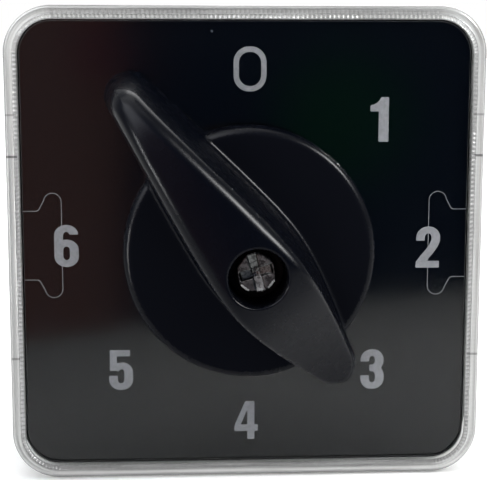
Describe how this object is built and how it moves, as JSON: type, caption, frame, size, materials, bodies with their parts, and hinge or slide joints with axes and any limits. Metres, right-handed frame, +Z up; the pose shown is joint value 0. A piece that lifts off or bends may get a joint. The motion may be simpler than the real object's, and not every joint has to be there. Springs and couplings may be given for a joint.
{
  "type": "rotary battery selector switch",
  "caption": "Panel rotary selector switch with a clear square cover, black legend card, black lever handle and rear terminal studs.",
  "frame": {"origin": "on the switch axis at the front face of the panel, which is the rear face of the gasket", "axes": "+Y along the switch axis into the panel, front towards -Y; +Z up, towards position 0; +X to the right as seen from the front"},
  "size_m": [0.064, 0.0862, 0.064],
  "materials": {
    "clear_plastic": "clear polycarbonate, glossy",
    "legend_black": "glossy black card",
    "legend_print": "grey print",
    "handle_black": "glossy black moulding",
    "black_plastic": "satin black moulding",
    "housing_plastic": "satin dark grey moulding",
    "rubber": "matte",
    "zinc_steel": "zinc plated",
    "screw_steel": "dull nickel plated",
    "spring_steel": "bright",
    "brass": "machined",
    "copper": "bare copper strip",
    "contact_silver": "silver faced",
    "white_plastic": "natural acetal",
    "rotor_plastic": "phenolic moulding"
  },
  "bodies": {
    "base": {"clear_cover": "clear_plastic", "legend_card": "legend_black", "front_plate": "black_plastic", "panel_gasket": "rubber", "shaft_seal": "rubber", "plate_screws": "zinc_steel", "detent_housing": "black_plastic", "front_bush": "brass", "spring_pins": "zinc_steel", "detent_spring_left": "spring_steel", "detent_spring_right": "spring_steel", "stop_ring": "zinc_steel", "threaded_inserts": "brass", "contact_housing": "housing_plastic", "rear_cover": "housing_plastic", "rear_bush": "brass", "collector": "copper", "contact_tips": "contact_silver", "terminal_studs": "brass", "stud_washers": "zinc_steel", "stud_nuts": "brass", "tie_screws": "zinc_steel", "rear_cap": "black_plastic"},
    "rotor": {"handle": "handle_black", "handle_screw": "screw_steel", "screw_washer": "screw_steel", "shaft": "zinc_steel", "thrust_washer": "brass", "detent_wheel": "white_plastic", "stop_arm": "zinc_steel", "contact_rotor": "rotor_plastic", "wiper_blade": "copper", "wiper_springs": "spring_steel", "retaining_ring": "spring_steel"}
  },
  "joints": [
    {"name": "handle_turn", "type": "hinge", "parent": "base", "child": "rotor", "pos_m": [0, 0, 0], "axis": [0, 1, 0], "range_deg": [-135, 135], "deforming": ["detent_spring_left", "detent_spring_right"]}
  ]
}
